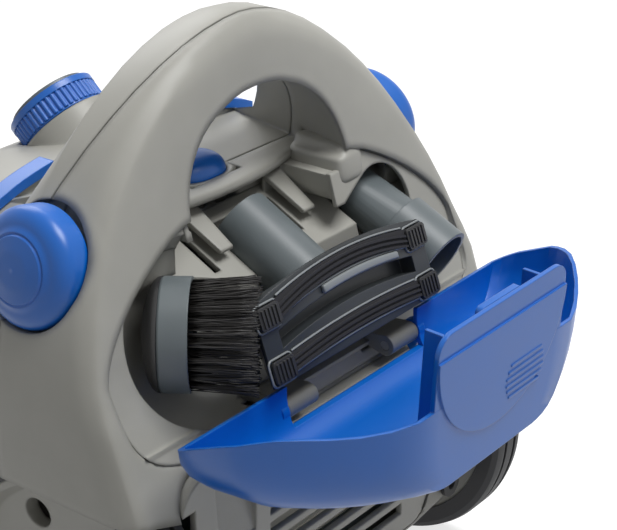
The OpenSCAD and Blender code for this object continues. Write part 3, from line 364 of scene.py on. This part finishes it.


# the strips' edges and the pads' outlines as thin pale raised lines: painted highlight of the glinting
# edges
rims = []
for z, top in ((STRIP_Z, BOW_UP), (-STRIP_Z, BOW_LOW)):
    for edge in (-STRIP_HALF, STRIP_HALF):
        span = [RIM_STEP * k for k in range(-RIM_STEPS, RIM_STEPS + 1)]
        rims.append(([at_head(x, RIM_Y, z + edge + rise(x, BOW_SPAN, top)) for x in span], False))
    for x in (-PAD_X, PAD_X):
        rims.append((round_rect(x, z, PAD_HALF_X, PAD_HALF_Z, PAD_CORNER), True))
nozzle_rims = wire("nozzle_rims", rims, RIM_RADIUS * MM, pp_painted_highlight)
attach(nozzle_rims, "body")


def mouth_bar():
    """The deflector bar between the upper strip and the suction mouth, drawn pale as painted highlight."""
    bm = bmesh.new()
    bmesh.ops.create_grid(bm, x_segments=16, y_segments=1, size=1)
    for vert in bm.verts:
        x = BAR_MID + BAR_HALF * vert.co.x
        low, high = 5.1 + rise(x, 54, 5), 7.3 + rise(x, BOW_SPAN, BOW_UP)
        vert.co = at_head(x, 0.2, high if vert.co.y > 0 else low)
    out = at_head(0, 0, 0) - at_head(0, BAR_OUT, 0)
    grown = bmesh.ops.extrude_face_region(bm, geom=list(bm.faces))["geom"]
    bmesh.ops.translate(bm, vec=out, verts=[g for g in grown if isinstance(g, bmesh.types.BMVert)])
    bmesh.ops.recalc_face_normals(bm, faces=bm.faces)
    sharp = [e for e in bm.edges if len(e.link_faces) == 2 and e.calc_face_angle(0) > 0.9]
    bmesh.ops.bevel(bm, geom=sharp, offset=0.9 * MM, affect="EDGES", segments=3, profile=0.5, material=-1)
    return piece("mouth_bar", bm, pp_painted_highlight)


bar = mouth_bar()
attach(bar, "body")


# the right foot of the grip, level by level: height, how far it stands out into the hole, its rear face
POST_LEVELS = [(236, 8.0, -76.6), (243, 8.0, -76.6), (247, 7.6, -76.0), (250, 7.2, -75.4),
               (252.6, 6.8, -74.8), (253.4, 3.0, -74.2), (256.2, 1.4, -73.0), (258.6, -0.4, -71.6)]
POST_X, HOLE_X = 74, 60.8  # the foot's outer side and the wall of the hand hole


def post_outline(out, face):
    """The foot's outline at one level, seen from above."""
    inner = HOLE_X - out
    return [(inner, -38), (inner, -48), (inner, -57), (inner - 0.2, face + 8), (inner, face + 2.4),
            (inner + 2.6, face - 0.2), (POST_X - 3.5, face + 0.4), (POST_X, face + 2.2),
            (POST_X, face + 7), (POST_X - 1, -60), (POST_X - 4, -50), (POST_X - 4, -38)]


def hole_post():
    """The rounded foot on which a leg of the grip ends, stepped in under the edge of the hand hole."""
    bm = bmesh.new()
    corner = bm.verts.layers.int.new("corner")
    verts = bmesh.ops.create_circle(bm, cap_ends=True, segments=len(post_outline(0, 0)), radius=1)["verts"]
    for k, vert in enumerate(verts):
        vert[corner] = k
    edges = list(bm.edges)
    for level, (z, out, face) in enumerate(POST_LEVELS):
        if level:
            grown = bmesh.ops.extrude_edge_only(bm, edges=edges)["geom"]
            verts = [g for g in grown if isinstance(g, bmesh.types.BMVert)]
            edges = [g for g in grown if isinstance(g, bmesh.types.BMEdge)]
        outline = post_outline(out, face)
        for vert in verts:
            x, y = outline[vert[corner]]
            vert.co = Vector((x, y, z)) * MM
    bmesh.ops.contextual_create(bm, geom=edges)
    bm.verts.layers.int.remove(corner)
    bmesh.ops.recalc_face_normals(bm, faces=bm.faces)
    obj = piece("hole_post_right", bm, abs_grey)
    soft = obj.modifiers.new("soft", "SUBSURF")
    soft.levels = soft.render_levels = 2
    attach(obj, "body")


hole_post()

BUTTON_LOW, BUTTON_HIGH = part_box("latch_button")
BUTTON_MID = (BUTTON_LOW + BUTTON_HIGH) / 2
BUTTON_HALF = (BUTTON_HIGH - BUTTON_LOW) / 2
DECK_Z = 251 * MM         # top of the ledge round the button
ALMOND = (0.85, 0.95)     # below 1 the outline is fuller than an ellipse, across and along
BUTTON_SEGMENTS = 48
BUTTON_SUNK = 7 * MM      # how deep the dome's side reaches into its well
CREST_SHIFT = 0.15        # the crest's shift towards the front, in half lengths
FULLNESS = 0.9            # below 1 the dome keeps its width longer on the way up
DOME_STEP = 9             # degrees


def button_edge(angle, more=0.0):
    """A place on the button's outline, seen from above: a full almond."""
    c, s = math.cos(angle), math.sin(angle)
    return Vector((BUTTON_MID.x + math.copysign(abs(c) ** ALMOND[0], c) * (BUTTON_HALF.x + more),
                   BUTTON_MID.y + math.copysign(abs(s) ** ALMOND[1], s) * (BUTTON_HALF.y + more), 0))


def button_dome():
    """The release button: one smooth dome, a little higher towards the front of the machine."""
    bm = bmesh.new()
    ring = bmesh.ops.create_circle(bm, cap_ends=True, segments=BUTTON_SEGMENTS, radius=1)["verts"]
    for vert in ring:
        vert.co = button_edge(math.atan2(vert.co.y, vert.co.x))
        vert.co.z = DECK_Z - BUTTON_SUNK
    edges = list(bm.edges)
    crest = Vector((BUTTON_MID.x, BUTTON_MID.y + BUTTON_HALF.y * CREST_SHIFT, 0))
    tall = BUTTON_HIGH.z - DECK_Z
    before = 1.0
    for step in range(0, 90, DOME_STEP):
        keep = math.cos(math.radians(step)) ** FULLNESS
        height = DECK_Z + tall * math.sin(math.radians(step))
        grown = bmesh.ops.extrude_edge_only(bm, edges=edges)["geom"]
        edges = [g for g in grown if isinstance(g, bmesh.types.BMEdge)]
        for vert in (g for g in grown if isinstance(g, bmesh.types.BMVert)):
            flat = Vector((vert.co.x, vert.co.y, 0))
            vert.co = crest + (flat - crest) * (keep / before) + Vector((0, 0, height))
        before = keep
    bmesh.ops.contextual_create(bm, geom=edges)
    bmesh.ops.recalc_face_normals(bm, faces=bm.faces)
    obj = piece("button_dome", bm, abs_blue)
    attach(obj, "release_button")
    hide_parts("latch_button")


LIP_GAP = 0.35 * MM       # between the button and the lip round it
LIP_SINK = 0.1 * MM
LIP_THICK = 1.2 * MM
LIP_GROW = 0.3            # width of the lip as a share of the button, up to the next value
LIP_MAX = (5 * MM, 2.5 * MM)


def button_surround():
    """The flat lip of the ledge that closes the well round the button."""
    bm = bmesh.new()
    ring = bmesh.ops.create_circle(bm, cap_ends=False, segments=BUTTON_SEGMENTS, radius=1)["verts"]
    for vert in ring:
        vert.co = button_edge(math.atan2(vert.co.y, vert.co.x), LIP_GAP)
        vert.co.z = DECK_Z - LIP_SINK
    grown = bmesh.ops.extrude_edge_only(bm, edges=list(bm.edges))["geom"]
    for vert in (g for g in grown if isinstance(g, bmesh.types.BMVert)):
        away = vert.co - BUTTON_MID
        vert.co.x += math.copysign(min(abs(away.x) * LIP_GROW, LIP_MAX[0]), away.x)
        vert.co.y += math.copysign(min(abs(away.y) * LIP_GROW, LIP_MAX[1]), away.y)
    bmesh.ops.recalc_face_normals(bm, faces=bm.faces)
    obj = piece("button_surround", bm, abs_grey)
    thick = obj.modifiers.new("thick", "SOLIDIFY")
    thick.thickness = LIP_THICK
    thick.offset = -1
    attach(obj, "body")


button_dome()
button_surround()

# ---------- studio ----------
WHITE = linear("#FFFFFF")
AMBIENT = 0.24  # how much of the white room lights the object


def any_ray(tree, *kinds):
    """1 for a ray of any of these kinds, else 0."""
    rays = add(tree, "ShaderNodeLightPath")
    seen = None
    for kind in kinds:
        either = add(tree, "ShaderNodeMath", operation="MAXIMUM")
        tree.links.new(rays.outputs[kind], either.inputs[0])
        if seen:
            tree.links.new(seen.outputs[0], either.inputs[1])
        else:
            either.inputs[1].default_value = 0
        seen = either
    return seen


def studio_material(name, code, lift):
    """A pale surface that shows as white to the camera and in reflections, and still takes the shadow."""
    mat, tree = blank(name)
    seen = any_ray(tree, "Is Camera Ray", "Is Glossy Ray", "Is Transmission Ray")
    strength = add(tree, "ShaderNodeMath", {"Value": (seen, 0)}, operation="MULTIPLY")
    strength.inputs[1].default_value = lift
    glow = add(tree, "ShaderNodeEmission", {"Strength": (strength, 0)}, Color=WHITE)
    diffuse = add(tree, "ShaderNodeBsdfDiffuse", Color=linear(code))
    both = add(tree, "ShaderNodeAddShader")
    tree.links.new(diffuse.outputs[0], both.inputs[0])
    tree.links.new(glow.outputs[0], both.inputs[1])
    finish_material(tree, both)
    return mat


FLOOR_HALF = 4
bm = bmesh.new()
bmesh.ops.create_grid(bm, x_segments=1, y_segments=1, size=FLOOR_HALF)
floor = piece("studio_floor", bm, studio_material("studio_paper_white", "#B8B8B8", 0.72))

world = bpy.data.worlds.new("studio")
world.use_nodes = True
tree = world.node_tree
tree.nodes.clear()
seen = any_ray(tree, "Is Camera Ray", "Is Glossy Ray")
level = add(tree, "ShaderNodeMapRange", {"Value": (seen, 0)}, To_Min=AMBIENT, To_Max=1.0)
sky = add(tree, "ShaderNodeBackground", {"Strength": (level, "Result")}, Color=WHITE)
add(tree, "ShaderNodeOutputWorld", {"Surface": (sky, 0)})
bpy.context.scene.world = world


def softbox(name, place, aim, size, watts):
    """A square area light at a place, aimed at a point."""
    light = bpy.data.lights.new(name, "AREA")
    light.size = size
    light.energy = watts
    obj = bpy.data.objects.new(name, light)
    obj.location = place
    obj.rotation_euler = (Vector(aim) - Vector(place)).to_track_quat("-Z", "Y").to_euler()
    bpy.context.scene.collection.objects.link(obj)


# a large key above and to the right, a weak fill from the left, and a rim light from behind
AIM = (0, -0.05, 0.2)
softbox("key", (0.2, -0.55, 1.55), AIM, 0.7, 17)
softbox("fill", (-0.9, -1.3, 0.9), AIM, 1.4, 0.4)
softbox("rim", (0.6, 1.1, 1.3), AIM, 0.9, 8)

# ---------- camera ----------
hinge = Vector(next(joint["pos_m"] for joint in frame["joints"] if joint["name"] == "lid_hinge"))
camera = bpy.data.objects.new("camera", bpy.data.cameras.new("camera"))
camera.data.lens = 103
camera.location = hinge + Vector((-0.623, -0.456, 0.402))
target = hinge + Vector((0.007, 0.030, 0.045))
camera.rotation_euler = (target - camera.location).to_track_quat("-Z", "Y").to_euler()
bpy.context.scene.collection.objects.link(camera)
bpy.context.scene.camera = camera
bpy.context.scene.view_settings.view_transform = "Standard"
